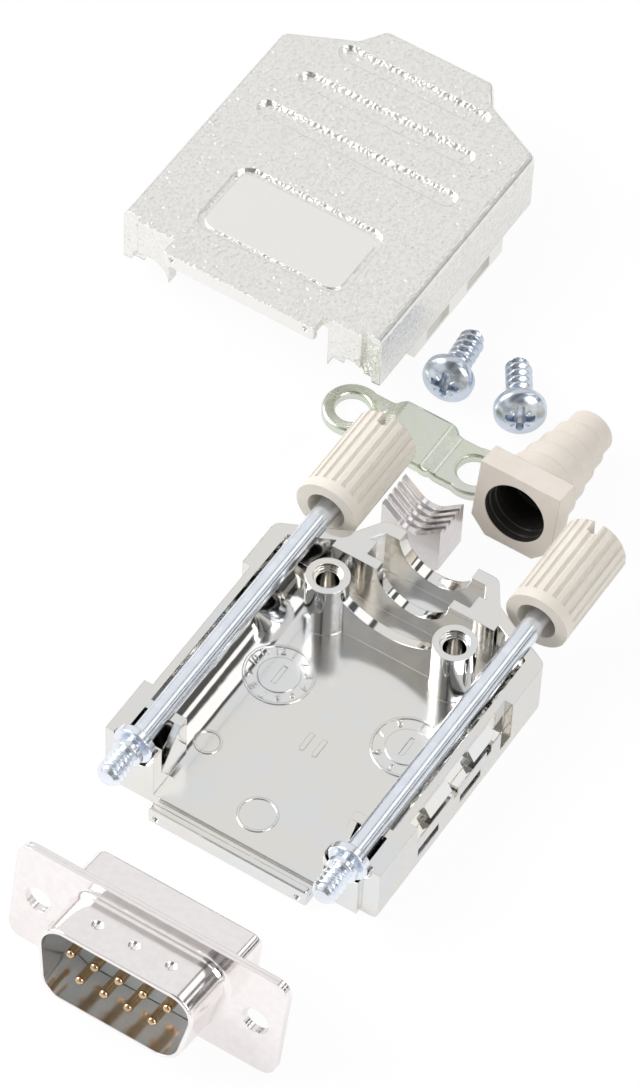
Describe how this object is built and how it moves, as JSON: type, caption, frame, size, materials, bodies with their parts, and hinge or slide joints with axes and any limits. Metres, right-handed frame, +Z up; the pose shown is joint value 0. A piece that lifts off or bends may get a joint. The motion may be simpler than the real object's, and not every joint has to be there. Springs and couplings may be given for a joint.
{
  "type": "d-sub connector kit",
  "caption": "Open metal hood kit for a D-sub connector: two half shells, captive thumbscrews, cable clamp parts and the pin connector, laid out on a bench.",
  "frame": {"origin": "on the bench, under the middle of the lower shell's front face", "axes": "+X across the hood, +Y from the mating side towards the cable, +Z up from the bench"},
  "size_m": [0.0682, 0.1188, 0.0126],
  "materials": {
    "nickel_cast": "bright nickel plate on a smooth zinc casting",
    "nickel_grained": "satin nickel plate on a pebble-grained zinc casting",
    "zinc_steel": "bluish zinc plate on turned steel",
    "beige_knob": "satin moulded plastic",
    "plated_plate": "bright plate on pressed steel",
    "nickel_insert": "nickel plate on a small zinc casting",
    "beige_bushing": "satin moulded plastic",
    "bright_tin": "bright tin plate on drawn steel",
    "grey_insulator": "moulded thermoplastic",
    "zinc_screw": "bluish zinc plate on a rolled screw",
    "gold_contact": "gold flash on turned copper alloy"
  },
  "bodies": {
    "root": {"lower_shell": "nickel_cast", "upper_shell": "nickel_grained", "clamp_plate": "plated_plate", "clamp_insert": "nickel_insert", "cable_bushing": "beige_bushing", "connector_front_shell": "bright_tin", "connector_rear_shell": "bright_tin", "front_insulator": "grey_insulator", "rear_insulator": "grey_insulator", "left_clamp_screw": "zinc_screw", "right_clamp_screw": "zinc_screw", "contact_pin_1": "gold_contact", "contact_pin_2": "gold_contact", "contact_pin_3": "gold_contact", "contact_pin_4": "gold_contact", "contact_pin_5": "gold_contact", "contact_pin_6": "gold_contact", "contact_pin_7": "gold_contact", "contact_pin_8": "gold_contact", "contact_pin_9": "gold_contact"},
    "left_thumbscrew": {"left_thumbscrew_rod": "zinc_steel", "left_thumbscrew_knob": "beige_knob"},
    "right_thumbscrew": {"right_thumbscrew_rod": "zinc_steel", "right_thumbscrew_knob": "beige_knob"}
  },
  "joints": [
    {"name": "left_thumbscrew_turn", "type": "hinge", "parent": "root", "child": "left_thumbscrew", "pos_m": [-0.01249, 0.02, 0.0074], "axis": [0, 1, 0], "continuous": true},
    {"name": "right_thumbscrew_turn", "type": "hinge", "parent": "root", "child": "right_thumbscrew", "pos_m": [0.01249, 0.02, 0.0074], "axis": [0, 1, 0], "continuous": true}
  ]
}
